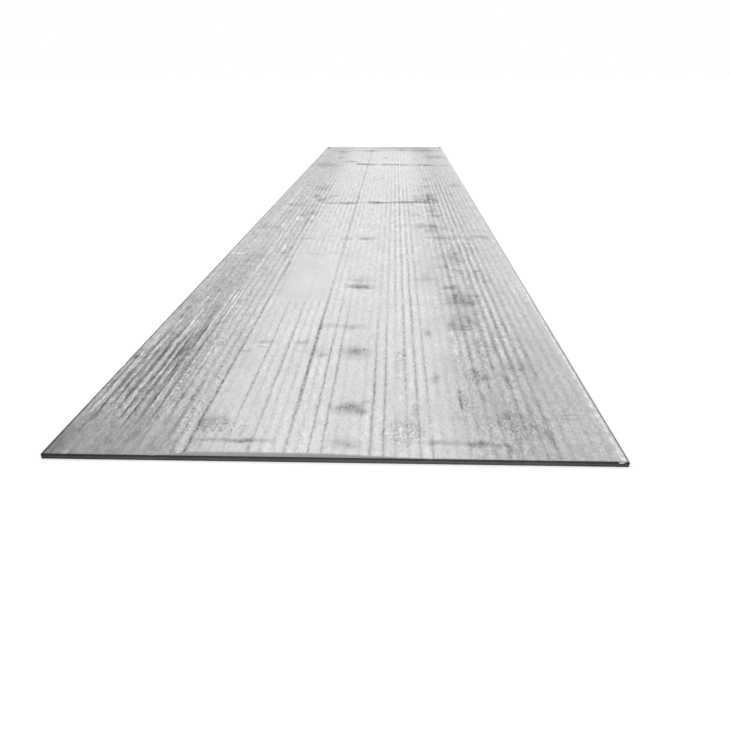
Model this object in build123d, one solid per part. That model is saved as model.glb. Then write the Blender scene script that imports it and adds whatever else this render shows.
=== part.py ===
"""Hot-rolled steel plate, trimmed to size by shearing all four edges.

The plate lies flat: its length runs along Y, its width along X, and the origin is at the
middle of its underside. Sizes are in millimetres.

A sheared edge isn't square. On the side that the blade enters, the face is dragged down into
a rounded rollover. Below that the blade cuts a smooth upright land, and past the land the
metal breaks, and the break falls back by the clearance between the two blades.
"""

import os

from build123d import *

# The plate as it is sold.
plate_length = 12000.0
plate_width = 2000.0
plate_thickness = 20.0

# The sheared edge, alike on all four sides.
rollover_width = 3.5
rollover_depth = 1.4
land_height = 6.5
blade_clearance = 1.6

# Stock outside each cut that the shear takes off.
trim_allowance = 50.0


def half_section(middle_to_edge):
    """Half of the plate's section, with up as Y: from its middle to an edge cut from above."""
    land_top = plate_thickness - rollover_depth
    land_bottom = land_top - land_height
    break_bottom = middle_to_edge - blade_clearance
    rollover_start = middle_to_edge - rollover_width
    rollover = EllipticalCenterArc(
        (rollover_start, land_top), rollover_width, rollover_depth, arc_size=90
    )
    straight_sides = Polyline(
        (rollover_start, plate_thickness),
        (0, plate_thickness),
        (0, 0),
        (break_bottom, 0),
        (middle_to_edge, land_bottom),
        (middle_to_edge, land_top),
    )
    return make_face([rollover, straight_sides])


def turned_over(section):
    """The section where the blade pushed the plate itself down, so that it was cut from below."""
    return Pos(0, plate_thickness) * mirror(section, about=Plane.XZ)


def opposite(section):
    """The section on the other side of the plate's middle."""
    return mirror(section, about=Plane.YZ)


def rolled_stock(plane, section, middle_to_edge):
    """Stock of that section, running past the cuts at both ends by the trim allowance."""
    middle_to_end = middle_to_edge + trim_allowance
    return extrude(plane.offset(-middle_to_end) * section, 2 * middle_to_end)


def sheared_plate():
    """The plate that is left between the two long cuts and the two end cuts."""
    half_width = plate_width / 2
    half_length = plate_length / 2
    long_edge = half_section(half_width)
    end = half_section(half_length)

    # The long edges and the head end, at -Y, were cut from above, and the tail end from below.
    between_edges = rolled_stock(Plane.XZ, long_edge + opposite(long_edge), half_length)
    between_ends = rolled_stock(Plane.YZ, turned_over(end) + opposite(end), half_width)
    return between_edges & between_ends


os.makedirs("parts", exist_ok=True)
export_step(sheared_plate(), "parts/steel_plate.step")
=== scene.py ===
"""Looks of a hot-rolled steel plate: its mill scale, its sheared edges and the studio around it.

Lengths are in metres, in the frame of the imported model: the plate lies flat, its length along Y with
the head end at -Y, and the origin is at the middle of its underside. Tones are in steps, of which a
picture has 255 from black to white, unless a comment says otherwise.
"""

import math
from collections import namedtuple

import bpy
import numpy as np
from mathutils import Matrix, Vector, geometry, noise


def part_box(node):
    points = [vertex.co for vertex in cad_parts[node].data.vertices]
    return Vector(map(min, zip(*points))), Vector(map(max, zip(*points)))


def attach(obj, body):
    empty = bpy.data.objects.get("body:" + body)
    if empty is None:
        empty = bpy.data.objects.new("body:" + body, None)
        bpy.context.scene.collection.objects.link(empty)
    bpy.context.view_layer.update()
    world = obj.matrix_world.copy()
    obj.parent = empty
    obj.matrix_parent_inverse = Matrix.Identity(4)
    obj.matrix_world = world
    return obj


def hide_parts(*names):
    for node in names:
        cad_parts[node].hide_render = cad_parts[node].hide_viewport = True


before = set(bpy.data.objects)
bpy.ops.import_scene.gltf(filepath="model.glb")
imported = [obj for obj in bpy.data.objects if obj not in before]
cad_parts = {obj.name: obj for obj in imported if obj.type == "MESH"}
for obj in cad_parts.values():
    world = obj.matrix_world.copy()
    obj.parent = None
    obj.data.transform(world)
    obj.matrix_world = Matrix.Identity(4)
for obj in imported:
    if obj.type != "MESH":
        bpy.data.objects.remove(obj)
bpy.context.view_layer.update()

PLATE_NODE = "steel_plate"

_, (half_width, half_length, thickness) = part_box(PLATE_NODE)

# The sheared edge, as the solid has it.
rollover_width = 0.0035
rollover_depth = 0.0014
land_height = 0.0065
blade_clearance = 0.0016
land_foot = rollover_depth + land_height

# A step of tone as a share of white, the power by which pictures store tones, and a crisp mark's rim.
STEP = 1 / 255
picture_gamma = 2.2
CRISP_RIM = (0.1, 0.4)

# Noise, by the size of its grains, seed and texture, or a mark that grows between heights of it.
Grain = namedtuple("Grain", "across along seed detail rough up heights", defaults=(1.0, 0.5, None, None))


def give(tree, slot, value):
    """Sets an input to a constant, or links it to a field or an output."""
    if isinstance(value, Field):
        value = value.socket
    if isinstance(value, bpy.types.NodeSocket):
        tree.links.new(value, slot)
    else:
        slot.default_value = value


def add_node(tree, kind, values=(), **settings):
    """A new shader node with settings, and with values for its first inputs, or None to skip one."""
    node = tree.nodes.new("ShaderNode" + kind)
    for name, setting in settings.items():
        setattr(node, name, setting)
    for slot, value in zip(node.inputs, values):
        if value is not None:
            give(tree, slot, value)
    return node


def made(tree, kind, values=(), output=0, **settings):
    """One output of a new shader node, as a field."""
    return Field(tree, add_node(tree, kind, values, **settings).outputs[output])


class Field:
    """A number that varies over a surface, with arithmetic in nodes."""

    def __init__(self, tree, socket):
        self.tree = tree
        self.socket = socket

    def apply(self, operation, *others):
        """One node of arithmetic, with this number as its first input."""
        return made(self.tree, "Math", (self, *others), operation=operation)

    def __add__(self, other):
        return self.apply("ADD", other)

    def __sub__(self, other):
        return self.apply("SUBTRACT", other)

    def __mul__(self, other):
        return self.apply("MULTIPLY", other)

    def plus_times(self, factor, addend):
        """This number times the factor, plus the addend, in one node."""
        return self.apply("MULTIPLY_ADD", factor, addend)

    def gain(self, change):
        """1 at 0, and 1 plus the change at 1."""
        return self.plus_times(change, 1.0)

    def blend(self, low, high):
        """One value at 0, another at 1."""
        return self.plus_times(high - low, low)

    def size(self):
        return self.apply("ABSOLUTE")

    def at_least(self, floor):
        return self.apply("MAXIMUM", floor)

    def at_most(self, ceiling):
        return self.apply("MINIMUM", ceiling)

    def ramp(self, zero, one):
        """0 up to one height and 1 from the other on, smooth between them, whichever is higher."""
        return made(self.tree, "MapRange", (self, zero, one), interpolation_type="SMOOTHSTEP")

    def within(self, span):
        """1 in a span, fading to 0 over the blur beyond its ends."""
        start, end, blur = span
        if start is None:
            return self.ramp(end + blur, end)
        begun = self.ramp(start - blur, start)
        return begun if end is None else begun * self.ramp(end + blur, end)

    def curve(self, points):
        """A smooth curve through points, at places from 0 to 1."""
        node = add_node(self.tree, "FloatCurve")
        line = node.mapping.curves[0]
        line.points[0].location = points[0]
        line.points[1].location = points[-1]
        for place, height in points[1:-1]:
            line.points.new(place, height)
        node.mapping.update()
        give(self.tree, node.inputs["Value"], self)
        return Field(self.tree, node.outputs[0])


def share_across(x):
    """A place across the plate as a share, 0 at its left edge and 1 at its right."""
    return x * (0.5 / half_width) + 0.5


class Surface:
    """A new material, and the fields that its pattern is made from."""

    def __init__(self, name):
        self.material = bpy.data.materials.new(name)
        self.material.use_nodes = True
        self.tree = self.material.node_tree
        place = made(self.tree, "TexCoord", output="Object")
        parts = add_node(self.tree, "SeparateXYZ", (place,))
        self.x, self.y, self.z = (Field(self.tree, out) for out in parts.outputs)
        self.noises = {}

    def point(self, x, y, z=0.0):
        return made(self.tree, "CombineXYZ", (x, y, z))

    def grain(self, kind, x=None, y=None):
        """Noise from about -1 to 1, here or at another place across or along."""
        if kind.heights:
            return self.grain(kind._replace(heights=None), x, y).ramp(*kind.heights)
        key = (kind, x, y)
        if key not in self.noises:
            across = (x or self.x) * (1 / kind.across)
            along = (y or self.y) * (1 / kind.along)
            up = self.z.plus_times(1 / kind.up, kind.seed) if kind.up else kind.seed
            values = (self.point(across, along, up), None, 1.0, kind.detail, kind.rough)
            self.noises[key] = made(self.tree, "TexNoise", values).plus_times(2.0, -1.0)
        return self.noises[key]

    def zone(self, across, along, x=None):
        """1 in a zone given by its spans across and along, with None for all of it."""
        if across is None:
            return self.y.within(along)
        inside = (x or self.x).within(across)
        return inside if along is None else inside * self.y.within(along)

    def zones(self, rows, total, x=None):
        """The total, plus each row's strength in its spans, times its noise if any."""
        for across, along, strength, *kinds in rows:
            parts = [self.grain(kind, x) for kind in kinds]
            if across or along:
                parts.append(self.zone(across, along))
            total = math.prod(parts[1:], start=parts[0]).plus_times(strength, total)
        return total

    def patchy(self, rows, left_over=1.0):
        """What noise leaves of a mark: rows of noise and its share move it, but not below 0."""
        for kind, share in rows:
            left_over = self.grain(kind).plus_times(share, left_over)
        return left_over.at_least(0.0)

    def blot(self, point, x, y, half_across, half_along):
        """1 at a place, falling to 0 at the rim of an ellipse about it."""
        values = (point, (x, y, 0.0), None, (half_across, half_along, 1.0))
        spot = made(self.tree, "Mapping", values, vector_type="TEXTURE")
        return made(self.tree, "TexGradient", (spot,), "Fac", gradient_type="SPHERICAL")

    def blots(self, point, rows, crisp=False):
        """The sum of blots, in rows of place, half sizes and strength."""
        total = 0.0
        for *ellipse, strength in rows:
            spot = self.blot(point, *ellipse)
            if crisp:
                spot = spot.ramp(*CRISP_RIM)
            total = spot.plus_times(strength, total)
        return total

    def finish(self, tone, rough, height, depth, metallic, specular):
        """The material in the grey that a picture shows in this tone, with its gloss and bumps."""
        bumps = add_node(self.tree, "Bump", (None, depth))
        give(self.tree, bumps.inputs["Height"], height)
        looks = {
            "Base Color": made(self.tree, "Gamma", (tone, picture_gamma)),
            "Normal": bumps.outputs[0],
            "Roughness": rough,
            "Metallic": metallic,
            "Specular IOR Level": specular,
        }
        for name, value in looks.items():
            give(self.tree, self.tree.nodes["Principled BSDF"].inputs[name], value)
        return self.material


# Spans that several marks of the top share: start and end, None if open, and blur.
LEFT_SIDE = (None, -0.75, 0.33)
RIGHT_SIDE = (0.58, None, 0.20)
RIGHT_BAND = (0.52, 0.76, 0.10)
NEAR_HEAD = (None, -half_length, 2.6)
NEAR_TAIL = (half_length, None, 1.2)
SMOOTH_AREA = ((-0.46, -0.20, 0.04), (-4.05, -2.86, 0.04))
CALM_CORNER = ((None, -0.66, 0.10), (None, 0.12 - half_length, 0.30))

# Noise that several of them share.
PATCHES = Grain(0.12, 0.30, 5.5, 3.0, 0.6)
BLOTCHES = Grain(0.05, 0.13, 14.2, 4.0, 0.65)
FLECKS = Grain(0.014, 0.05, 8.8, 3.0, 0.65)
PEPPER = Grain(0.007, 0.016, 1.9, 2.0, 0.7)
SCABS = Grain(0.013, 0.042, 33.0, 3.0, 0.7)
PITS = Grain(0.008, 0.018, 31.0, 2.0, 0.6, heights=(0.25, 0.5))
# What breaks pale marks: noise and its share.
PALE_BREAKS = ((FLECKS, 1.3), (PEPPER, 0.9))

# Lines drift to one side from their places at the anchor, and sway and wobble.
line_anchor = -5.0
line_drift = 0.0021
SWAY = Grain(0.25, 0.5, 2.1)
sway_reach = 0.003
WOBBLE = Grain(0.025, 0.05, 3.4, 2.0, 0.6)
wobble_reach = 0.005


class ScaledTop(Surface):
    """The material of the top, with the fields that several of its marks share."""

    def __init__(self):
        super().__init__("mill_scale")
        self.on_plate = self.point(self.x, self.y)
        drifted = (self.y - line_anchor).plus_times(line_drift, self.x)
        swayed = self.grain(SWAY).plus_times(sway_reach, drifted)
        self.line_x = self.grain(WOBBLE).plus_times(wobble_reach, swayed)
        self.on_lines = self.point(self.line_x, self.y)
        self.smooth = self.zone(*SMOOTH_AREA)
        self.calm = self.zone(*CALM_CORNER)
        self.patches = self.grain(PATCHES)
        self.blotches = self.grain(BLOTCHES)
        self.flecks = self.grain(FLECKS)
        self.pepper = self.grain(PEPPER)
        self.pits = self.grain(PITS)
        self.broken = self.patchy(PALE_BREAKS)

    def calmed(self, marks, smooth_loss, calm_loss):
        """Marks made weaker in the smooth area and the calm corner."""
        return marks * self.smooth.gain(-smooth_loss) * self.calm.gain(-calm_loss)


# Broad tone of the scale: share across the plate, and tone as a share of white.
TONE_ACROSS = (
    (0.0, 0.745), (0.08, 0.745), (0.16, 0.755), (0.22, 0.785), (0.28, 0.82), (0.34, 0.84), (0.6, 0.84),
    (0.67, 0.83), (0.72, 0.81), (0.77, 0.79), (0.84, 0.78), (0.92, 0.78), (1.0, 0.795),
)
# Shades over it, among them painted shadow at the left of the front: span across, span along, and steps
# of tone.
BROAD_SHADES = (
    (LEFT_SIDE, NEAR_HEAD, -12),
    (RIGHT_SIDE, NEAR_HEAD, -16),
    (None, NEAR_HEAD, -4),
    ((None, -0.95, 0.75), (None, -half_length, 0.55), -30),
    ((None, -half_width, 0.10), (None, -half_length, 0.40), -36),
    # These two rows are painted shadow at the left of the front.
    ((-0.92, -0.77, 0.06), (-4.7, -3.4, 0.5), -8),
    ((None, -0.75, 0.05), (-4.4, -2.86, 0.06), -5),
    ((0.25, 0.55, 0.15), (1.0, 4.6, 0.5), 6),
    ((0.0, 0.5, 0.3), NEAR_TAIL, -26),
    (None, NEAR_TAIL, -10),
    (None, (half_length, None, 0.12), -24),
)

# Broad mottles: span across, span along, steps of tone and noise. Flecks grow towards the back.
MOTTLES = (
    (None, None, 12, PATCHES),
    (None, (-1.0, None, 3.5), 42, Grain(0.035, 0.20, 41.0, 3.0, 0.7)),
    (None, (-2.5, None, 1.5), 12, Grain(0.20, 0.035, 43.0, 2.0, 0.6)),
)
fleck_tone = 42
MORE_FLECKS = (-3.0, None, 2.0)
fleck_growth = 0.5
pepper_tone = 55
# Dark blotches: the heights they grow between, and their tones in the middle and beside it.
BLOTCH_HEIGHTS = (0.0, 0.45)
middle_blotch_tone = 7
SIDE_BLOTCH_TONES = ((LEFT_SIDE, None, 26), (RIGHT_BAND, None, 30))
blotch_flecks = 1.2
# Unevenness: in the middle, added at the sides and by patches, and lost in calm parts.
middle_unrest = 0.6
SIDE_UNREST = ((LEFT_SIDE, None, 0.5), (RIGHT_SIDE, None, 0.15), (LEFT_SIDE, NEAR_HEAD, 0.3))
patch_unrest = 0.4
UNREST_LOSSES = (0.7, 0.65)


def mottling(face):
    """Steps of tone of the mottling, from broad patches to fine pepper."""
    unrest = face.patches.plus_times(patch_unrest, face.zones(SIDE_UNREST, middle_unrest))
    grown = face.y.within(MORE_FLECKS).gain(fleck_growth)
    fine = face.flecks * grown * fleck_tone + face.pepper * pepper_tone
    dark = face.blotches.ramp(*BLOTCH_HEIGHTS) * face.zones(SIDE_BLOTCH_TONES, middle_blotch_tone)
    fine = fine * face.calmed(unrest, *UNREST_LOSSES) - dark * face.flecks.gain(blotch_flecks)
    return face.zones(MOTTLES, fine)


# Crusts of pits and scabs: where they are likelier, and their tones.
CRUST_HEIGHTS = (0.1, 0.6)
crust_blotches = 0.6
CRUSTED = ((None, NEAR_HEAD, 0.12), (RIGHT_BAND, None, 0.45), (LEFT_SIDE, None, 0.25))
pit_tone = -44
scab_tone = 52

# Areas strewn with dark pocks: place across and along, half sizes, and density.
POCKED_AREAS = (
    (-0.56, -5.5, 0.07, 0.42, 2.0), (-0.545, -4.8, 0.035, 0.6, 2.0), (-0.44, -5.78, 0.14, 0.09, 2.0),
    (-0.69, -5.3, 0.04, 0.5, 1.4),
)
POCKS = Grain(0.009, 0.022, 37.0, heights=(0.15, 0.40))
pock_tone = -60


def pitting(face):
    """Steps of tone of pits and scabs in crusts, and of strewn pocks."""
    crust = face.zones(CRUSTED, (face.blotches + face.patches) * crust_blotches).ramp(*CRUST_HEIGHTS)
    pocked = face.blots(face.on_plate, POCKED_AREAS).at_most(1.0)
    crusted = crust * (face.pits * pit_tone + face.grain(SCABS) * scab_tone)
    return (face.grain(POCKS) * pocked).plus_times(pock_tone, crusted)


# The comb of dark lines that the water jets leave: evenly spaced, each with its own strength.
line_pitch = 0.0430
first_line = 0.130
luck_seed = 40.0
LINE_LUCK = (0.7, 1.3)
core_strength = 1.2
flank_strength = 0.4
FLANK = (0.3 * line_pitch, 0.42 * line_pitch)
# How dark the lines are at places across the plate, and at most.
LINE_LEVELS = (
    (-1.0, 6), (-0.75, 10), (-0.55, 18), (-0.44, 5), (-0.30, 9), (-0.10, 9), (-0.02, 4), (0.04, 5),
    (0.13, 13), (0.31, 18), (0.42, 5), (0.50, 9), (0.57, 16), (0.80, 22), (0.87, 8), (1.0, 9),
)
line_top = 24
# Their strength and half width at the front and further back, and the steadier, wider ones at the right.
LINES_BACK = (-2.6, None, 1.8)
LINE_STRENGTHS = (1.10, 0.95)
LINE_HALF_WIDTHS = (0.0095, 0.014)
STEADY_LINES = (0.60, None, 0.15)
WIDE_LINES = (STEADY_LINES, (-4.6, None, 1.1))
wide_line_gain = 0.005
# Where they are weaker or stronger: span across, span along, and the change as a share.
LINE_CHANGES = (
    (None, (2.5, None, 2.5), -0.25),
    (None, (-0.8, 0.8, 0.6), 0.3),
    (STEADY_LINES, (None, -5.6, 0.8), -0.35),
    (STEADY_LINES, (-2.35, -2.02, 0.12), -0.55),
    ((0.20, 0.23, 0.01), (None, -4.8, 0.8), -0.7),
    ((0.24, 0.28, 0.01), (None, -5.75, 0.3), -0.6),
)
LINE_LOSSES = (0.85, 0.6)
# How strongly noise breaks the lines, and how much less the steady ones.
BEADS = Grain(0.018, 0.036, 11.3, 2.0, 0.65)
bead_breaks = 1.9
SPELLS = Grain(0.05, 0.30, 4.7, 2.0, 0.65)
spell_breaks = 1.7
PATCH_BREAKS = ((PATCHES, 0.9),)
steadiness = 0.55

# Single dark lines: place across and along, half sizes, and darkness in steps of tone.
SINGLE_LINES = (
    (-0.513, -5.15, 0.009, 1.6, 36), (-0.508, -3.25, 0.012, 0.3, 36), (-0.566, -1.3, 0.02, 2.4, 12),
    (-0.168, -4.95, 0.012, 1.6, 56), (-0.168, -1.0, 0.02, 4.2, 24), (-0.168, 3.6, 0.024, 3.6, 24),
    (-0.383, -5.0, 0.008, 1.1, 36), (-0.293, -5.1, 0.008, 1.8, 34), (-0.086, -5.1, 0.008, 1.4, 34),
    (-0.04, -5.2, 0.008, 1.5, 34), (0.126, -5.35, 0.008, 1.3, 36), (0.173, -5.35, 0.008, 1.1, 27),
    (0.303, -4.3, 0.009, 2.4, 20), (0.56, -2.4, 0.022, 3.2, 5), (0.695, -2.62, 0.013, 0.22, 34),
    (0.74, -2.62, 0.013, 0.24, 34), (0.781, -2.62, 0.013, 0.22, 30), (0.821, -2.62, 0.013, 0.2, 26),
    (0.473, -5.5, 0.008, 0.14, 46),
)
single_line_strength = 1.2
SINGLE_LINE_BREAKS = ((BEADS, 1.7),)


def jet_lines(face):
    """Steps by which the comb and the single lines darken the scale, beaded and broken."""
    x = face.line_x
    turns = (x - first_line).plus_times(1 / line_pitch, 0.5)
    offset = (turns.apply("FRACT") - 0.5).size() * line_pitch
    number = turns.apply("FLOOR") + luck_seed
    luck = made(face.tree, "TexWhiteNoise", (None, number), noise_dimensions="1D")
    back = face.y.within(LINES_BACK)
    levels = [(share_across(place), level / line_top) for place, level in LINE_LEVELS]
    level = share_across(x).curve(levels) * line_top
    level = level * luck.blend(*LINE_LUCK) * back.blend(*LINE_STRENGTHS)
    for across, along, change in LINE_CHANGES:
        level = level * face.zone(across, along, x).gain(change)

    breaks = face.grain(BEADS) * bead_breaks + face.grain(SPELLS) * spell_breaks
    breaks = breaks.plus_times(x.within(STEADY_LINES).gain(-steadiness), 1.0)
    reach = face.zone(*WIDE_LINES, x).plus_times(wide_line_gain, back.blend(*LINE_HALF_WIDTHS))
    profile = offset.ramp(reach, 0.0) * core_strength - offset.ramp(*FLANK) * flank_strength
    comb = profile * level * face.patchy(PATCH_BREAKS, breaks)
    singles = face.blots(face.on_lines, SINGLE_LINES) * face.patchy(SINGLE_LINE_BREAKS)
    return face.calmed(singles.plus_times(single_line_strength, comb), *LINE_LOSSES)


# Pale lines: place across and along, half sizes, and lightness in steps of tone.
PALE_LINES = (
    (-0.857, -0.6, 0.026, 2.8, 22), (-0.7, -2.2, 0.018, 1.8, 18), (-0.66, -1.6, 0.018, 1.4, 16),
    (-0.613, -2.62, 0.012, 0.22, 34), (0.277, -1.6, 0.018, 2.8, 5), (0.487, -1.5, 0.018, 1.6, 9),
    (0.5, -5.0, 0.013, 1.2, 8), (0.663, -1.2, 0.018, 1.6, 12), (0.712, -2.4, 0.015, 3.6, 8),
    (0.752, -2.4, 0.015, 3.6, 7),
)
pale_line_strength = 1.3

# The scored zone at the left of the front: broad dark bands, then strips scored dark or rubbed pale.
DARK_BANDS = (
    (-0.885, -5.05, 0.04, 1.0, 0.9), (-0.815, -5.05, 0.032, 1.0, 0.7), (-0.765, -5.05, 0.042, 1.1, 1.0),
    (-0.71, -5.0, 0.022, 1.0, 0.5),
)
BAND_RIM = (0.05, 0.55)
band_tone = -13
band_flecks = 0.5
DARK_STRIPS = (
    (-0.972, -5.3, 0.012, 0.45, 24), (-0.976, -5.02, 0.011, 0.05, 46), (-0.931, -5.15, 0.014, 0.75, 42),
    (-0.9, -5.25, 0.011, 0.45, 18), (-0.866, -5.15, 0.014, 0.6, 32), (-0.826, -5.15, 0.012, 0.75, 22),
    (-0.794, -5.25, 0.012, 0.7, 38), (-0.753, -5.15, 0.016, 0.85, 32), (-0.707, -4.95, 0.012, 1.05, 34),
    (-0.667, -4.95, 0.012, 0.8, 18), (-0.592, -5.55, 0.011, 0.4, 24),
)
dark_strip_tone = -1.2
DARK_STRIP_BREAKS = ((PEPPER, 1.6), (SCABS, 2.0))
PALE_STRIPS = (
    (-0.957, -4.8, 0.017, 0.8, 10), (-0.917, -4.85, 0.013, 0.8, 22), (-0.843, -4.95, 0.015, 0.95, 18),
    (-0.811, -4.45, 0.01, 0.24, 24), (-0.805, -5.2, 0.009, 0.7, 30), (-0.774, -5.2, 0.009, 0.65, 32),
    (-0.738, -4.8, 0.011, 1.15, 24), (-0.696, -4.7, 0.012, 1.15, 18), (-0.65, -4.6, 0.013, 0.8, 14),
)
PALE_STRIP_WEAR = (0.65, 1.0)


def strips(face):
    """Steps of tone of the pale lines, and of the bands and strips of the scored zone."""
    pale_lines = face.blots(face.on_lines, PALE_LINES) * face.broken
    bands = face.blots(face.on_lines, DARK_BANDS).ramp(*BAND_RIM) * face.flecks.gain(band_flecks)
    dark_strips = face.blots(face.on_lines, DARK_STRIPS, crisp=True) * face.patchy(DARK_STRIP_BREAKS)
    pale_strips = face.blots(face.on_lines, PALE_STRIPS, crisp=True) * face.broken.blend(*PALE_STRIP_WEAR)
    steps = pale_lines.plus_times(pale_line_strength, pale_strips)
    return steps + bands * band_tone + dark_strips * dark_strip_tone


# Scratches along the lines at the left of the front, and its brushed corner, in rows like the mottles.
NEEDLES = Grain(0.011, 0.18, 17.7, 3.0, 0.65)
NEEDLED = ((-0.95, -0.74, 0.06), (-5.5, -4.7, 0.4))
FURROWS = Grain(0.013, 0.60, 19.2, 3.0, 0.6)
FURROWED = ((-0.93, -0.70, 0.05), (-4.7, -3.9, 0.4))
BRUSHED = ((None, -0.60, 0.25), (None, 0.35 - half_length, 0.55))
SCRATCHES = (
    (*NEEDLED, -40, NEEDLES._replace(heights=(0.05, 0.20))),
    (*NEEDLED, 42, NEEDLES._replace(heights=(-0.2, -0.4))),
    (*FURROWED, -22, FURROWS._replace(heights=(0.0, 0.2))),
    (*FURROWED, 34, FURROWS._replace(heights=(-0.15, -0.35))),
    (*BRUSHED, 34, Grain(0.026, 0.60, 45.0, 2.0, 0.6)),
)

# Clusters where the scale is blistered: place across and along, and half sizes.
CLUSTERS = (
    (0.67, -5.75, 0.1, 0.18), (0.245, -5.79, 0.14, 0.16), (0.56, -4.45, 0.11, 0.22),
    (0.62, -4.78, 0.06, 0.11), (0.56, -5.22, 0.1, 0.13), (-0.46, -5.74, 0.1, 0.1),
    (0.488, -5.5, 0.04, 0.17), (0.24, -5.05, 0.04, 0.26), (0.6, -2.9, 0.1, 0.22),
)
cluster_strength = 2.0
CLUSTER_RIM = (0.35, 1.0)
cluster_raggedness = 0.9
# Tones of a blister: its skin, a painted highlight on its lit side and painted shade on its dark side,
# and its outline.
BLISTERS = Grain(0.015, 0.030, 6.6, 3.0, 0.7)
skin_tone = 3
painted_highlight_tone = 16.2
painted_shade_tone = 70.2
# How far the lit side lies from the shaded one; the painted highlight and shade are found from it.
light_x = 0.005
light_y = -0.008
OUTLINE_HEIGHTS = (0.16, 0.02)
OUTLINE_PITS = (0.4, 1.2)
outline_tone = -78


def blisters(face):
    """Blisters with dark outlines, a painted highlight on one side and painted shade on the other: their
    steps of tone, and their relief.
    """
    clusters = face.blots(face.on_plate, [(*row, cluster_strength) for row in CLUSTERS])
    ragged = (face.blotches + face.flecks).plus_times(cluster_raggedness, clusters)
    blistered = ragged.ramp(*CLUSTER_RIM) * clusters.at_most(1.0)
    height = face.grain(BLISTERS)
    slope = height - face.grain(BLISTERS, face.x + light_x, face.y + light_y)
    painted_light_and_shade = slope.at_least(0.0).plus_times(painted_highlight_tone - painted_shade_tone, slope * painted_shade_tone)
    outlines = height.size().ramp(*OUTLINE_HEIGHTS) * face.pits.blend(*OUTLINE_PITS)
    steps = outlines.plus_times(outline_tone, painted_light_and_shade) + skin_tone
    return steps * blistered, height * blistered


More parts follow.
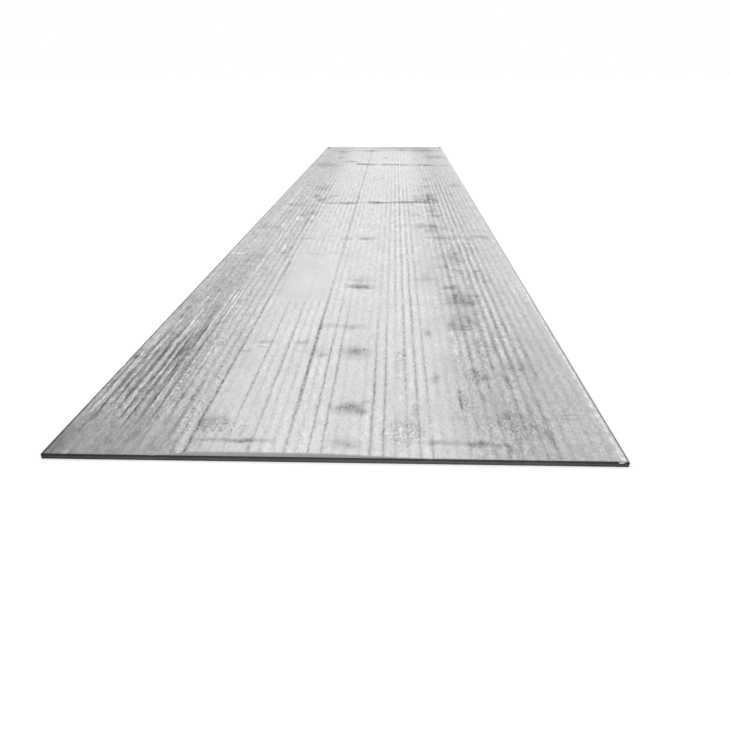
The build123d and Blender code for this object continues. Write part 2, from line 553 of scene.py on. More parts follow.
# Stains: place across and along, half sizes, and darkness in steps of tone.
STAINS = (
    # Smudges along the middle.
    (0.027, -4.93, 0.09, 0.13, 60), (-0.16, -4.93, 0.08, 0.13, 18), (0.03, -4.89, 0.024, 0.03, 70),
    (0.075, -4.89, 0.022, 0.03, 60), (0.04, -5.585, 0.085, 0.085, 62), (0.022, -5.57, 0.04, 0.04, 34),
    (0.088, -5.61, 0.034, 0.04, 44), (0.098, -5.52, 0.03, 0.03, 24), (0.04, -5.89, 0.075, 0.075, 26),
    (0.018, -5.88, 0.022, 0.03, 34), (0.062, -5.91, 0.032, 0.022, 28), (0.0, -4.54, 0.1, 0.06, 34),
    (-0.14, -4.53, 0.09, 0.06, 28), (-0.05, -3.71, 0.055, 0.055, 44), (0.004, -3.735, 0.085, 0.08, 100),
    (0.062, -3.76, 0.045, 0.045, 50), (0.004, -3.57, 0.095, 0.11, 34), (0.047, 1.56, 0.03, 0.16, 50),
    (-0.03, 1.45, 0.07, 0.14, 24),
    # The front, left of the middle.
    (-0.233, -4.79, 0.06, 0.05, 34), (-0.407, -4.79, 0.07, 0.035, 34), (-0.407, -4.86, 0.024, 0.02, 60),
    (-0.49, -4.92, 0.06, 0.025, 36), (-0.12, -4.98, 0.035, 0.035, 36),
    (-0.405, -4.845, 0.034, 0.02, -34), (-0.46, -5.7, 0.08, 0.08, 22),
    (-0.335, -5.876, 0.15, 0.026, 62), (-0.46, -5.872, 0.07, 0.018, 26),
    # The front, right of the middle.
    (0.39, -5.875, 0.12, 0.03, 44), (0.54, -5.885, 0.12, 0.03, 40), (0.292, -5.6, 0.014, 0.1, 34),
    (0.373, -4.63, 0.026, 0.09, 46), (0.52, -4.54, 0.07, 0.11, 28), (0.56, -4.57, 0.13, 0.024, 28),
    (0.587, -4.0, 0.13, 0.22, 58), (0.6, -4.36, 0.13, 0.22, 16), (0.388, -5.26, 0.026, 0.07, 42),
    (0.24, -5.26, 0.028, 0.02, 28), (0.255, -4.97, 0.014, 0.022, 50), (0.56, -5.24, 0.08, 0.08, 10),
    (0.76, -5.1, 0.1, 0.18, 14), (0.55, -3.74, 0.08, 0.08, 52), (0.48, -3.77, 0.025, 0.04, 36),
    (0.4, -3.55, 0.08, 0.1, 24), (0.43, -3.4, 0.17, 0.55, 13), (0.553, -3.14, 0.04, 0.2, 14),
    (0.64, -2.95, 0.1, 0.3, 18), (0.7, -3.45, 0.12, 0.26, 16),
    # Cross marks behind the smooth area, and beside the right edge.
    (-0.32, -2.815, 0.22, 0.045, 15), (-0.77, -2.9, 0.13, 0.16, 20), (-0.598, -2.74, 0.022, 0.22, 28),
    (-0.575, -2.6, 0.034, 0.06, 26), (-0.915, -2.8, 0.1, 0.03, -62), (0.87, -5.62, 0.08, 0.014, 26),
    (0.88, -5.66, 0.09, 0.014, 26),
    # A bearer's row, a third of the way back.
    (-0.48, -2.26, 0.07, 0.09, 30), (-0.18, -2.24, 0.05, 0.09, 34), (-0.035, -2.26, 0.05, 0.1, 48),
    (0.02, -2.23, 0.06, 0.09, 26), (0.56, -2.2, 0.1, 0.13, 52), (0.65, -2.22, 0.06, 0.09, 30),
    (0.8, -2.17, 0.12, 0.12, 34), (0.92, -2.17, 0.06, 0.16, 28),
    # Blotches behind it.
    (0.46, -1.7, 0.12, 0.17, 48), (0.53, -1.72, 0.05, 0.14, 38), (0.52, -1.9, 0.07, 0.17, 48),
    (0.57, -1.16, 0.08, 0.11, 42), (0.553, -0.94, 0.035, 0.2, 46), (0.37, -1.12, 0.1, 0.14, 22),
    (-0.665, -1.36, 0.026, 0.17, -34), (-0.622, -1.38, 0.022, 0.15, -32),
    (-0.745, -1.6, 0.03, 0.2, -26), (-0.548, -1.28, 0.024, 0.16, -26), (-0.645, -1.48, 0.026, 0.16, 38),
    (-0.57, -1.45, 0.024, 0.5, 26), (-0.53, -1.46, 0.026, 0.12, 34), (-0.88, -1.75, 0.08, 0.26, 20),
    (-0.57, -1.05, 0.1, 0.17, 40), (-0.65, -1.16, 0.06, 0.1, 30),
    # The bearer's stripe near the middle of the length.
    (-0.42, -0.455, 0.17, 0.09, 52), (-0.27, -0.44, 0.115, 0.095, 104), (-0.184, -0.34, 0.03, 0.16, 56),
    (-0.18, -0.05, 0.024, 0.17, 60), (-0.12, -0.42, 0.09, 0.07, 26), (0.02, -0.405, 0.13, 0.1, 112),
    (0.2, -0.39, 0.125, 0.095, 76), (0.36, -0.37, 0.16, 0.1, 100), (0.52, -0.39, 0.14, 0.095, 58),
    (0.53, -0.2, 0.15, 0.22, 26), (0.545, -0.12, 0.035, 0.26, 76), (0.615, -0.22, 0.045, 0.22, 64),
    (0.425, -0.28, 0.035, 0.15, 76), (0.425, -0.02, 0.05, 0.15, 36), (0.47, -0.17, 0.032, 0.17, 44),
    (0.565, -0.63, 0.05, 0.09, 36), (0.795, 0.18, 0.03, 0.17, 30), (-0.75, -0.55, 0.11, 0.17, 34),
    (-0.84, -0.5, 0.03, 0.11, 30), (-0.2, -0.53, 0.34, 0.035, -16), (0.25, -0.5, 0.34, 0.035, -16),
    (-0.53, -0.22, 0.05, 0.17, 48), (-0.57, -0.2, 0.035, 0.15, 38), (-0.62, 0.05, 0.05, 0.16, 56),
    (-0.48, -0.05, 0.026, 0.12, 44), (0.55, 0.1, 0.11, 0.2, 34), (-0.44, 0.07, 0.08, 0.11, 42),
    # The back half.
    (-0.61, 0.66, 0.11, 0.32, 28), (0.57, 0.8, 0.14, 0.16, 36), (0.89, 0.88, 0.11, 0.17, 36),
    (0.59, 1.46, 0.05, 0.2, 36), (-0.45, 3.54, 0.14, 0.15, 62), (-0.33, 3.25, 0.07, 0.11, 58),
    (-0.27, 3.19, 0.13, 0.12, 98), (-0.15, 3.13, 0.13, 0.12, 106), (0.06, 3.1, 0.06, 0.12, 58),
    (0.22, 3.1, 0.28, 0.12, 82), (0.6, 3.06, 0.18, 0.15, 82), (0.82, 3.03, 0.22, 0.15, 34),
    (0.05, 2.7, 0.6, 0.3, -7), (0.05, 3.46, 0.4, 0.12, -12), (-0.78, 3.08, 0.22, 0.44, 36),
    (0.055, 4.08, 0.06, 0.2, 30), (-0.66, 5.05, 0.07, 0.34, 46), (-0.74, 5.16, 0.07, 0.22, 34),
    (-0.56, 5.13, 0.06, 0.2, 26), (-0.18, 5.22, 0.1, 0.3, 26), (-0.23, 5.3, 0.28, 0.26, 34),
    (0.32, 5.45, 0.1, 0.33, 34), (0.7, 5.3, 0.32, 0.5, 32), (0.82, 4.2, 0.22, 0.36, 42),
    (-0.63, 4.12, 0.07, 0.17, 42),
    # Rubbed corners at the tail end.
    (-1.0, 6.0, 0.05, 0.36, 150), (1.0, 6.0, 0.05, 0.36, 150),
)
stain_strength = 0.95
# What pulls the rims of stains across and along: noise, its reach, and what is added further back.
LOOSE = (-3.0, None, 2.4)
LOOSER = (4.0, None, 3.0)
PULLS = (
    (Grain(0.06, 0.10, 21.0, 5.0, 0.7), 0.04, ((None, LOOSE, 0.05), (None, LOOSER, 0.04))),
    (Grain(0.06, 0.10, 25.0, 5.0, 0.7), 0.03, ((None, LOOSE, 0.10), (None, LOOSER, 0.07))),
)
# What breaks them: noise and its share. Pepper does so more at the front than further back.
STAIN_BREAKS = ((FLECKS, 1.6), (BLOTCHES, 1.1))
STAIN_PEPPER = (1.9, 1.0)


def stains(face):
    """Steps by which stains darken the scale, ragged and broken by finer marks."""
    pulled = []
    for place, (kind, reach, more) in zip((face.x, face.y), PULLS):
        pulled.append(face.grain(kind).plus_times(face.zones(more, reach), place))
    peppered = face.pepper.plus_times(face.y.within(LOOSE).blend(*STAIN_PEPPER), 1.0)
    return face.blots(face.point(*pulled), STAINS) * face.patchy(STAIN_BREAKS, peppered)


# The greyer border of the head end, drawn down by the shear: share across, depth.
border_depth = 0.04
BORDER_SHARES = (
    (0.0, 0.0), (0.18, 0.1), (0.28, 0.85), (0.44, 0.85), (0.58, 0.45), (0.68, 0.2), (1.0, 0.2),
)
border_droop = 0.0006
BORDER_BLUR = (0.006, -0.012)
# Its tone at the edge, the rise of that for each metre inward, and flecks.
border_tone = 138
border_tone_rise = 408
border_fleck_tone = 10
# Thin lines of painted shade along the rims: span across, span along, and steps of tone.
RIM_PAINTED_SHADE = (
    ((None, 0.004 - half_width, 0.009), None, -75),
    ((half_width - 0.003, None, 0.006), None, -80),
    (None, (None, 0.0015 - half_length, 0.002), -90),
)
# A pale line inside the right rim, in rows like the ones above.
PALE_RIM = (half_width - 0.020, half_width - 0.011, 0.006)
PALE_RIM_SHADES = ((PALE_RIM, None, 12), (PALE_RIM, (None, -5.5, 2.5), 16))


def rims(face, tone):
    """The tone with a grey border at the head end, thin dark lines of painted shade along the edges, and
    a pale line inside the right one.
    """
    inward = face.y + half_length
    border = (inward - share_across(face.x).curve(BORDER_SHARES) * border_depth).ramp(*BORDER_BLUR)
    steps = inward.plus_times(border_tone_rise, border_tone) + face.flecks * border_fleck_tone
    tone = border.plus_times(steps * STEP - tone, tone)
    pale_rim = face.zones(PALE_RIM_SHADES, 0.0) * face.broken
    return face.zones(RIM_PAINTED_SHADE, pale_rim).plus_times(STEP, tone)


# Gloss of the scale, metallic and specular, its roughness and its relief.
SCALE_GLOSS = (0.2, 0.3)
scale_rough = 0.44
pepper_rough = 0.08
mark_rough = 0.002
scale_relief = 0.0006
pepper_relief = 0.6
blister_relief = 0.2


def mill_scale():
    """The top face: grey scale with jet lines, streaks, bearer stains, blisters and mottling, with
    painted shade along its rims and at the left of the front, and painted light and shade on the
    blisters.
    """
    face = ScaledTop()
    lines = jet_lines(face)
    stain = stains(face)
    blister_marks_and_shading, swelling = blisters(face)
    steps = face.zones(BROAD_SHADES, mottling(face)) + pitting(face) + strips(face) + blister_marks_and_shading
    steps = face.zones(SCRATCHES, steps, face.line_x) - lines - stain * stain_strength
    tone = rims(face, steps.plus_times(STEP, share_across(face.x).curve(TONE_ACROSS)))
    rough = (stain + lines).plus_times(mark_rough, face.pepper.plus_times(pepper_rough, scale_rough))
    height = face.pepper * pepper_relief + swelling * blister_relief
    return face.finish(tone, rough, height, scale_relief, *SCALE_GLOSS)


# Noise of the cut edge, the tones of its land and break, both kept dark as painted shade, and the steps
# that vary them.
TORN_GRAIN = Grain(0.004, 0.004, 6.1, 3.0, 0.7, 0.003)
CUT_SCRATCHES = Grain(0.002, 0.002, 4.4, 2.0, 0.6, 0.04)
CUT_PATCHES = Grain(0.15, 0.15, 8.2, 2.0)
land_tone_and_shade = 52
break_tone_and_shade = 90
cut_patch_tone = 14
torn_grain_tone = 26
cut_scratch_tone = 16
darkest_cut = 10.2
# Depths between which the land gives way to the break, and those of the lower rim, darkened as painted
# shade.
BREAKING = (land_foot - 0.0012, land_foot + 0.0008)
SHADED_LOWER_RIM = (thickness - 0.004, thickness)
lower_rim_shade_tone = -45
# The head end: painted shade, darker towards its corners, by share across, and at the right one a bruise
# of bare steel painted bright as a glint.
HEAD_CUT = (None, 0.004 - half_length, 0.001)
PAINTED_HEAD_SHADE = (
    (0.0, 0.75), (0.03, 0.5), (0.08, 0.4), (0.15, 0.2), (0.4, 0.12), (0.6, 0.0), (0.8, 0.05), (1.0, 0.35),
)
painted_head_shade_tone = -60
# The bruise: place across and up, and half sizes.
BRUISE = (0.974, 0.0165, 0.016, 0.0045)
BRUISE_RIM = (0.1, 0.5)
bruise_and_glint_tone = 200
# Gloss of the cut, metallic and specular, its roughness and its relief.
CUT_GLOSS = (0.3, 0.5)
cut_rough = 0.5
torn_grain_rough = 0.1
cut_relief = 0.0008
cut_scratch_relief = 0.3


def sheared_edge():
    """The cut edges, kept dark as painted shade: a dark burnished land, and below it the paler grain of
    the break, with painted shade at the lower rim and the head's corners and a painted glint on the
    bruise.
    """
    face = Surface("sheared_edge")
    depth = made(face.tree, "Attribute", output="Fac", attribute_name="cut_depth")
    grain = face.grain(TORN_GRAIN)
    scratched = face.grain(CUT_SCRATCHES)
    broken = depth.ramp(*BREAKING)
    steps = broken.blend(land_tone_and_shade, break_tone_and_shade) + face.grain(CUT_PATCHES) * cut_patch_tone
    steps = steps + grain * broken * torn_grain_tone + scratched * broken.blend(cut_scratch_tone, 0.0)
    # The lower rim is darkened as painted shade.
    steps = depth.ramp(*SHADED_LOWER_RIM).plus_times(lower_rim_shade_tone, steps)

    # The bruise is bare steel painted bright as a glint, and the head's corners get painted shade.
    bruise = face.blot(face.point(face.x, face.z), *BRUISE).ramp(*BRUISE_RIM) * bruise_and_glint_tone
    head_shade_and_glint = share_across(face.x).curve(PAINTED_HEAD_SHADE).plus_times(painted_head_shade_tone, bruise)
    steps = face.y.within(HEAD_CUT).plus_times(head_shade_and_glint, steps)

    tone = steps.at_least(darkest_cut) * STEP
    rough = grain.plus_times(torn_grain_rough, cut_rough)
    height = grain * broken + scratched * cut_scratch_relief
    return face.finish(tone, rough, height, cut_relief, *CUT_GLOSS)


# Marks of the underside, in rows like the mottles. It is scored dark, and rubbed pale and smoother.
GRIT = Grain(0.007, 0.012, 17.0, 2.0, 0.7)
SCORED = Grain(0.006, 1.1, 29.0, 2.0, 0.6, heights=(0.30, 0.50))
RUBBED = SCORED._replace(heights=(-0.30, -0.55))
UNDER_MARKS = (
    (None, None, 18, Grain(0.012, 0.8, 13.0, 2.0, 0.6)),
    (None, None, 18, Grain(0.12, 0.35, 15.0, 3.0, 0.6)),
    (None, None, -24, Grain(0.05, 0.13, 27.0, 4.0, 0.65, heights=(0.05, 0.45))),
    (None, None, 24, GRIT),
    (None, None, -30, SCORED),
    (None, None, 24, RUBBED),
)
# Its broad tone as a share of white, its roughness and its relief.
under_tone = 0.77
under_rough = 0.48
grit_rough = 0.08
rubbed_rough = -0.08
grit_relief = 0.6
scored_relief = -0.6


def underside_scale():
    """The underside: the same scale, blotched, and scratched and rubbed along its length."""
    face = Surface("underside_scale")
    grit = face.grain(GRIT)
    tone = face.zones(UNDER_MARKS, 0.0).plus_times(STEP, under_tone)
    rough = face.grain(RUBBED).plus_times(rubbed_rough, grit.plus_times(grit_rough, under_rough))
    height = face.grain(SCORED).plus_times(scored_relief, grit * grit_relief)
    return face.finish(tone, rough, height, scale_relief, *SCALE_GLOSS)


# Sides of the plate, going round it counterclockwise as seen from above.
SIDES = HEAD, RIGHT, TAIL, LEFT = range(4)
ENDS = (HEAD, TAIL)
OUTWARD = np.array([(0.0, -1.0), (1.0, 0.0), (0.0, 1.0), (-1.0, 0.0)])

# Spacing of the mesh: along the rim, near the corners, over the faces and on the blisters.
end_step = 0.006
long_step = 0.015
corner_step = 0.003
corner_reach = 0.06
RING_INSETS = (0.008, 0.018, 0.036)
top_grid = (0.04, 0.06)
under_grid = (0.10, 0.10)
blister_step = 0.008

# Loops up the edge: shares of the rollover's depth, and how many loops the land has.
CURL_SHARES = (0.0, 0.07, 0.29, 0.64, 1.0)
curl_bands = len(CURL_SHARES) - 1
land_loops = 4

# Noise of the shape: its height, the size of its grains, and its seed.
LAND_WANDER = (0.0012, 0.03, 1.3)
TEARS = (0.0004, 0.009, 5.9)
WAVES = (0.0003, 0.7, 3.7)
BLISTER_SKIN = (0.0004, 0.012, 9.2)

# How far the wander and the tears of the cut reach, and the burr at the tail.
land_wander_reach = 2 / 9 * thickness
tear_fade = 0.003
corner_fade = 4 * corner_step
tail_burr = 0.0004
burr_sharpness = 4
# Share of the height above which nicks, the burr and the skin's lift show.
upper_start = 0.6

# Nicks in the top arris: side, place along it, half length and depth.
NICKS = (
    (HEAD, -0.615, 0.012, 0.0012), (HEAD, -0.18, 0.006, 0.0008), (HEAD, 0.335, 0.009, 0.001),
    (HEAD, 0.742, 0.015, 0.0009), (RIGHT, -4.31, 0.03, 0.0012), (RIGHT, -1.87, 0.022, 0.001),
    (RIGHT, 2.46, 0.03, 0.0012), (LEFT, -5.12, 0.025, 0.0012), (LEFT, -0.74, 0.03, 0.0009),
    (LEFT, 3.93, 0.022, 0.0012), (TAIL, -0.42, 0.014, 0.001), (TAIL, 0.58, 0.01, 0.0012),
)

# The bruised corner of the top, and how steeply blisters fade in from their cluster's rim.
bruise_reach = 0.016
bruise_depth = 0.0022
blister_fade = 1.3

# Distance within which points are one, and the angle from which edges look sharp.
merge_distance = 1e-6
sharp_angle = math.radians(40)

# The materials' order on the mesh.
TOP_SLOT, EDGE_SLOT, UNDER_SLOT = range(3)

# Where the faces lie on the baked texture: left, bottom, right and top of each.
TOP_CHART = (0.004, 0.004, 0.704, 0.996)
UNDER_CHART = (0.712, 0.004, 0.902, 0.996)
EDGE_CHARTS = {
    LEFT: (0.910, 0.004, 0.934, 0.996),
    RIGHT: (0.942, 0.004, 0.966, 0.996),
    HEAD: (0.974, 0.004, 0.996, 0.496),
    TAIL: (0.974, 0.504, 0.996, 0.996),
}


def ripple(places, height, size, seed):
    """Noise up and down by a height at many places, with grains of one size."""
    return height * np.array([noise.noise(place) for place in (places / size + seed).tolist()])


def edge_inset(height):
    """How far an edge cut from above stands in from the plate's full size."""
    falling_back = blade_clearance * np.clip(1 - height / (thickness - land_foot), 0, 1)
    into_rollover = np.clip((height - thickness + rollover_depth) / rollover_depth, 0, 1)
    return falling_back + rollover_width * (1 - np.sqrt(1 - into_rollover ** 2))


def side_places(length, step):
    """Places along a side as shares from -1 to 1, without its last corner."""
    near = np.arange(0.0, corner_reach, corner_step)
    count = round((length - 2 * corner_reach) / step) + 1
    middle = np.linspace(corner_reach, length - corner_reach, count)
    return 2 * np.concatenate([near, middle, length - near[:0:-1]]) / length - 1


def rim():
    """Points round the plate: shares from -1 to 1 across and along, and the side of each."""
    ends = side_places(2 * half_width, end_step)
    longs = side_places(2 * half_length, long_step)
    across = np.concatenate([ends, np.ones_like(longs), -ends, -np.ones_like(longs)])
    along = np.concatenate([-np.ones_like(ends), longs, np.ones_like(ends), -longs])
    side = np.repeat(SIDES, [len(ends), len(longs), len(ends), len(longs)])
    return across, along, side


def wall_heights():
    """Heights of the loops up the edge, close together at both rollovers."""
    curl = rollover_depth * np.array(CURL_SHARES)
    land = np.linspace(rollover_depth, land_foot, land_loops)
    lower = np.concatenate([curl, land[1:]])
    return np.concatenate([lower, [thickness / 2], thickness - lower[::-1]])


def profile_reach(heights):
    """How far each loop up the edge lies from the top one, over the edge's profile."""
    lengths = np.hypot(np.diff(heights), np.diff(edge_inset(heights)))
    return np.concatenate([np.cumsum(lengths[::-1])[::-1], [0.0]])


def skin_lift(x, y):
    """Lift of the top skin: broad waves, the head's droop, the bruise and blisters."""
    places = np.stack([x, y, np.zeros_like(x)], axis=1)
    lift = ripple(places, *WAVES)
    lift -= border_droop * np.clip(1 - (y + half_length) / border_depth, 0, 1) ** 2
    from_corner = np.hypot(x - half_width, y + half_length)
    lift -= bruise_depth * np.exp(-(from_corner / bruise_reach) ** 2)
    blistered = np.zeros_like(x)
    for across, along, half_across, half_along in CLUSTERS:
        away = np.hypot((x - across) / half_across, (y - along) / half_along)
        blistered = np.maximum(blistered, np.clip(blister_fade * (1 - away), 0, 1))
    return lift + blistered * ripple(places, *BLISTER_SKIN)


def plain_loop(height, across, along):
    """Points round the plate at one height, on an edge as even as the solid's."""
    inset = edge_inset(height)
    head_y = -half_length + inset
    tail_y = half_length - edge_inset(thickness - height)
    x = across * (half_width - inset)
    y = head_y + (along + 1) / 2 * (tail_y - head_y)
    return x, y, np.full_like(x, height)


def nicked(side, rim_place):
    """Depth of the nicks in the top arris at each point round the plate."""
    depth = np.zeros_like(rim_place)
    for nick_side, place, half_span, nick_depth in NICKS:
        bell = np.exp(-((rim_place - place) / half_span) ** 2)
        depth += np.where(side == nick_side, nick_depth * bell, 0)
    return depth


def walls(across, along, side):
    """Loops of points up the edge, with the cut's wander, tears and nicks."""
    rim_place = np.where(np.isin(side, ENDS), across * half_width, along * half_length)
    nicks = nicked(side, rim_place)
    to_corner = np.hypot((1 - abs(across)) * half_width, (1 - abs(along)) * half_length)
    fade = np.clip(to_corner / corner_fade, 0, 1)
    outward = OUTWARD[side]
    loops = []
    for height in wall_heights():
        x, y, z = plain_loop(height, across, along)

        # The foot of the land wanders, and the break below it is torn.
        from_cut = np.where(side == TAIL, height, thickness - height)
        below_land = from_cut - land_foot
        level_places = np.stack([x, y, np.zeros_like(x)], axis=1)
        near_foot = np.clip(1 - abs(below_land) / land_wander_reach, 0, 1)
        z += fade * near_foot * ripple(level_places, *LAND_WANDER)
        torn = abs(ripple(np.stack([x, y, z], axis=1), *TEARS))
        torn *= np.clip(below_land / tear_fade, 0, 1) * np.clip((thickness - from_cut) / tear_fade, 0, 1)
        inward = fade * torn

        # Nicks, the skin's lift and the burr reach only its upper part.
        upper = np.clip((height / thickness - upper_start) / (1 - upper_start), 0, 1)
        inward += nicks * upper
        z += (skin_lift(x, y) - nicks) * upper
        z += np.where(side == TAIL, fade * tail_burr * upper ** burr_sharpness, 0)
        loops.append(np.stack([x - outward[:, 0] * inward, y - outward[:, 1] * inward, z], axis=1))
    return loops


def on_skin(x, y):
    """Points of the top skin at places across and along."""
    return np.stack([x, y, thickness + skin_lift(x, y)], axis=1)


def grid(step_across, step_along, margin):
    """Places over a face inside a margin, with every second row shifted."""
    reach_x = half_width - margin
    reach_y = half_length - margin
    rows = np.linspace(-reach_y, reach_y, round(2 * reach_y / step_along) + 1)
    count = round(2 * reach_x / step_across)
    places = []
    for index, y in enumerate(rows):
        shifted = index % 2
        steps = np.arange(count + 1 - shifted) + 0.5 * shifted
        places += [(-reach_x + 2 * reach_x * step / count, y) for step in steps]
    return np.array(places)


def blister_places():
    """Closely spaced places over the blistered clusters."""
    places = []
    for x, y, half_across, half_along in CLUSTERS:
        columns = round(half_across / blister_step)
        rows = round(half_along / blister_step)
        for row in range(-rows, rows + 1):
            for column in range(-columns, columns + 1):
                if (column / columns) ** 2 + (row / rows) ** 2 < 1:
                    places.append((x + (column + 0.5 * (row % 2)) * blister_step, y + row * blister_step))
    return np.array(places)


def on_chart(chart, across, along):
    """Texture places on a chart, from shares across and along it."""
    left, bottom, right, top = chart
    return np.stack([left + (right - left) * across, bottom + (top - bottom) * along], axis=-1)


class PlateMesh:
    """The mesh: loops of points up the edge and onto the top, and points over both faces."""

    def __init__(self):
        self.across, self.along, self.side = rim()
        self.around = len(self.across)
        self.heights = wall_heights()
        self.wall_bands = len(self.heights) - 1
        loops = walls(self.across, self.along, self.side)
        for inset in RING_INSETS:
            loops.append(on_skin(self.across * (half_width - inset), self.along * (half_length - inset)))
        inside_rings = RING_INSETS[-1] + top_grid[0] / 2
        over_top = on_skin(*np.vstack([grid(*top_grid, inside_rings), blister_places()]).T)
        under = np.pad(grid(*under_grid, under_grid[0] / 2), ((0, 0), (0, 1)))
        self.points = np.vstack([*loops, over_top, under])
        numbers = np.arange(len(self.points))
        self.loops = numbers[:len(loops) * self.around].reshape(-1, self.around)
        self.over_top = numbers[self.loops.size:-len(under)]
        self.under = numbers[-len(under):]
        self.faces = []
        self.places = []
        self.slots = []
        reach = profile_reach(self.heights)
        curl_reach = reach[self.wall_bands - curl_bands]
        self.charted = {
            TOP_SLOT: self.face_places(TOP_CHART, reach, curl_reach),
            UNDER_SLOT: self.face_places(UNDER_CHART, reach[::-1], curl_reach),
        }

    def band(self, index):
        """The quads from a loop to the next one, in the order of its points."""
        lower, upper = self.loops[index:index + 2]
        return np.stack([lower, np.roll(lower, -1), np.roll(upper, -1), upper], axis=1)

    def filled(self, ring, inner):
        """Triangles, counterclockwise from above, that fill a ring and use the inner points."""
        numbers = np.concatenate([ring, inner])
        flat = [Vector(point) for point in self.points[numbers, :2].tolist()]
        outline = list(range(len(ring)))
        inside_only = 1
        result = geometry.delaunay_2d_cdt(flat, [], [outline], inside_only, merge_distance)
        source = [numbers[origin[0]] for origin in result[3]]
        return np.array([[source[corner] for corner in face] for face in result[2]])

    def face_places(self, chart, reach, curl_reach):
        """Each point's texture place on a face's chart, with the edge laid flat."""
        flat_part = np.array([half_width, half_length]) - rollover_width
        flat = self.points[:, :2].copy()
        for loop, out in zip(self.loops, reach):
            flat[loop] = np.column_stack([self.across, self.along]) * (flat_part + out)
        return on_chart(chart, *(flat / (2 * (flat_part + curl_reach)) + 0.5).T)

    def add(self, corners, slot, places=None):
        """Adds faces of one material, at texture places or on its face's chart."""
        places = self.charted[slot][corners] if places is None else places
        self.faces.extend(corners.tolist())
        self.places.append(places.reshape(-1, 2))
        self.slots.extend([slot] * len(corners))

    def add_edge(self):
        """Adds the edge: its rollovers belong to the face that they come from."""
        for index in range(self.wall_bands):
            quads = self.band(index)
            for which in SIDES:
                part = quads[self.side == which]
                if which != TAIL and index >= self.wall_bands - curl_bands:
                    self.add(part, TOP_SLOT)
                elif which == TAIL and index < curl_bands:
                    self.add(part, UNDER_SLOT)
                else:
                    shares = self.across if which in ENDS else self.along
                    run = shares[part % self.around] / 2 + 0.5
                    rise = self.heights[part // self.around] / thickness
                    self.add(part, EDGE_SLOT, on_chart(EDGE_CHARTS[which], rise, run))

    def add_faces(self):
        """Adds the top, as bands and a fill, and the underside, turned over."""
        for index in range(self.wall_bands, len(self.loops) - 1):
            self.add(self.band(index), TOP_SLOT)
        self.add(self.filled(self.loops[-1], self.over_top), TOP_SLOT)
        self.add(self.filled(self.loops[0], self.under)[:, ::-1], UNDER_SLOT)

    def cut_depth(self):
        """Depth of the edge's points below the face that the blade entered, 0 elsewhere."""
        depth = np.zeros(len(self.points))
        for loop, height in zip(self.loops, self.heights):
            depth[loop] = np.where(self.side == TAIL, height, thickness - height)
        return depth


def placed(name, data):
    """A new object in the scene."""
    thing = bpy.data.objects.new(name, data)
    bpy.context.scene.collection.objects.link(thing)
    return thing


def plate():
    """The plate as one closed mesh, with its edges as the shear left them and its skin uneven."""
    shape = PlateMesh()
    shape.add_edge()
    shape.add_faces()
    mesh = bpy.data.meshes.new("plate")
    mesh.from_pydata(shape.points.tolist(), [], shape.faces)
    mesh.uv_layers.new(name="OFBake").data.foreach_set("uv", np.vstack(shape.places).ravel())
    for make in (mill_scale, sheared_edge, underside_scale):
        mesh.materials.append(make())
    mesh.polygons.foreach_set("material_index", shape.slots)
    mesh.attributes.new("cut_depth", "FLOAT", "POINT").data.foreach_set("value", shape.cut_depth())
    mesh.shade_smooth()
    mesh.set_sharp_from_angle(angle=sharp_angle)

    piece = placed("plate", mesh)
    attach(piece, "root")
    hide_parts(PLATE_NODE)


# The camera's place, its angles, its focal length and the frame in pixels, and how far it sees.
CAMERA_PLACE = Vector((0.208, -8.358, 1.236))
camera_pitch = math.radians(20.45)
camera_yaw = math.radians(-2.24)
camera_roll = math.radians(-0.21)
focal_pixels = 780
frame_pixels = 730
camera_sight = 500.0


def camera():
    """The photograph's view, from a little right of the middle of the head end."""
    turn = Matrix.Rotation(-camera_yaw, 4, "Z")
    tilt = Matrix.Rotation(math.pi / 2 - camera_pitch, 4, "X")
    roll = Matrix.Rotation(camera_roll, 4, "Z")
    data = bpy.data.cameras.new("camera")
    data.lens = focal_pixels / frame_pixels * data.sensor_width
    data.clip_end = camera_sight
    eye = placed("camera", data)
    eye.matrix_world = Matrix.Translation(CAMERA_PLACE) @ turn @ tilt @ roll
    bpy.context.scene.camera = eye


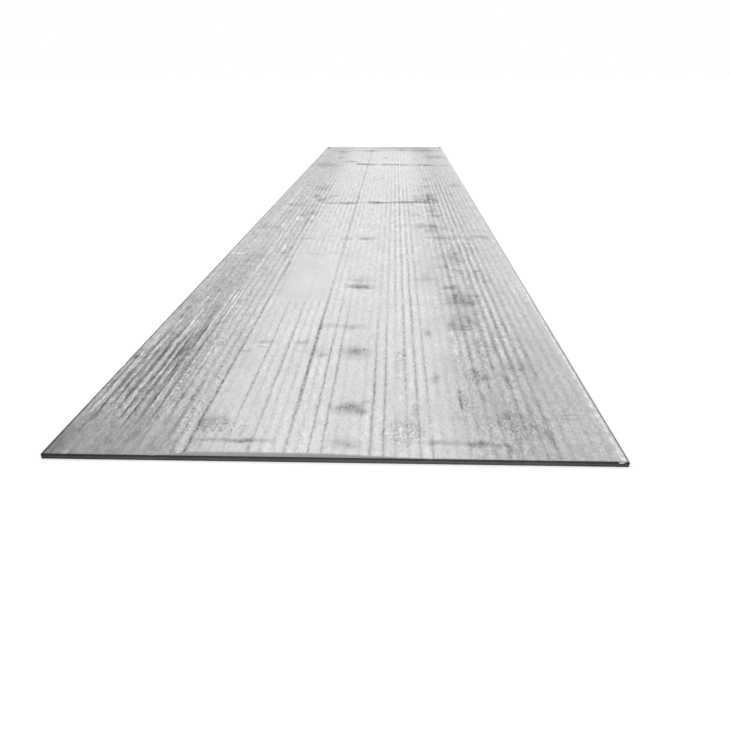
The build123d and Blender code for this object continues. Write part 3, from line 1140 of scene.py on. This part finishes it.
# The studio: strength of its surroundings as light, and the floor's colour, reach and glow.
WHITE = (1.0, 1.0, 1.0, 1.0)
ambient = 0.62
PALE_GREY = (0.8, 0.8, 0.8, 1.0)
floor_reach = 300.0
floor_glow = 0.28
# Lamps: name, direction from the plate, spread of the light, and strength.
LAMPS = (
    ("key", Vector((2.0, 1.0, 6.0)), math.radians(70), 1.0),
    ("fill", Vector((-5.0, -1.0, 5.0)), math.radians(80), 0.4),
)


def seen_directly(tree):
    """1 for rays from the camera, mirror rays and rays through glass, and 0 for the rest."""
    rays = add_node(tree, "LightPath").outputs
    seen = Field(tree, rays["Is Camera Ray"]).at_least(rays["Is Glossy Ray"])
    return seen.at_least(rays["Is Transmission Ray"])


def floor_paint():
    """A pale matte that glows a little where it is seen, so that all but the shadow is white."""
    material = bpy.data.materials.new("floor")
    material.use_nodes = True
    tree = material.node_tree
    tree.nodes.remove(tree.nodes["Principled BSDF"])
    matte = made(tree, "BsdfDiffuse", (PALE_GREY,))
    glow = made(tree, "Emission", (WHITE, seen_directly(tree) * floor_glow))
    give(tree, tree.nodes["Material Output"].inputs["Surface"], made(tree, "AddShader", (matte, glow)))
    return material


def studio():
    """Surroundings that are white where they are seen, a pale floor, and two large soft lamps."""
    scene = bpy.context.scene
    scene.view_settings.view_transform = "Standard"
    scene.world = bpy.data.worlds.new("studio")
    scene.world.use_nodes = True
    tree = scene.world.node_tree
    sky = tree.nodes["Background"]
    sky.inputs["Color"].default_value = WHITE
    give(tree, sky.inputs["Strength"], seen_directly(tree).blend(ambient, 1.0))

    mesh = bpy.data.meshes.new("floor")
    corners = [(-1, -1), (1, -1), (1, 1), (-1, 1)]
    mesh.from_pydata([(a * floor_reach, b * floor_reach, 0.0) for a, b in corners], [], [(0, 1, 2, 3)])
    mesh.materials.append(floor_paint())
    floor = placed("floor", mesh)

    for name, direction, spread, strength in LAMPS:
        data = bpy.data.lights.new(name, "SUN")
        data.angle = spread
        data.energy = strength
        placed(name, data).matrix_world = (-direction).to_track_quat("-Z", "Y").to_matrix().to_4x4()


camera()
studio()
plate()
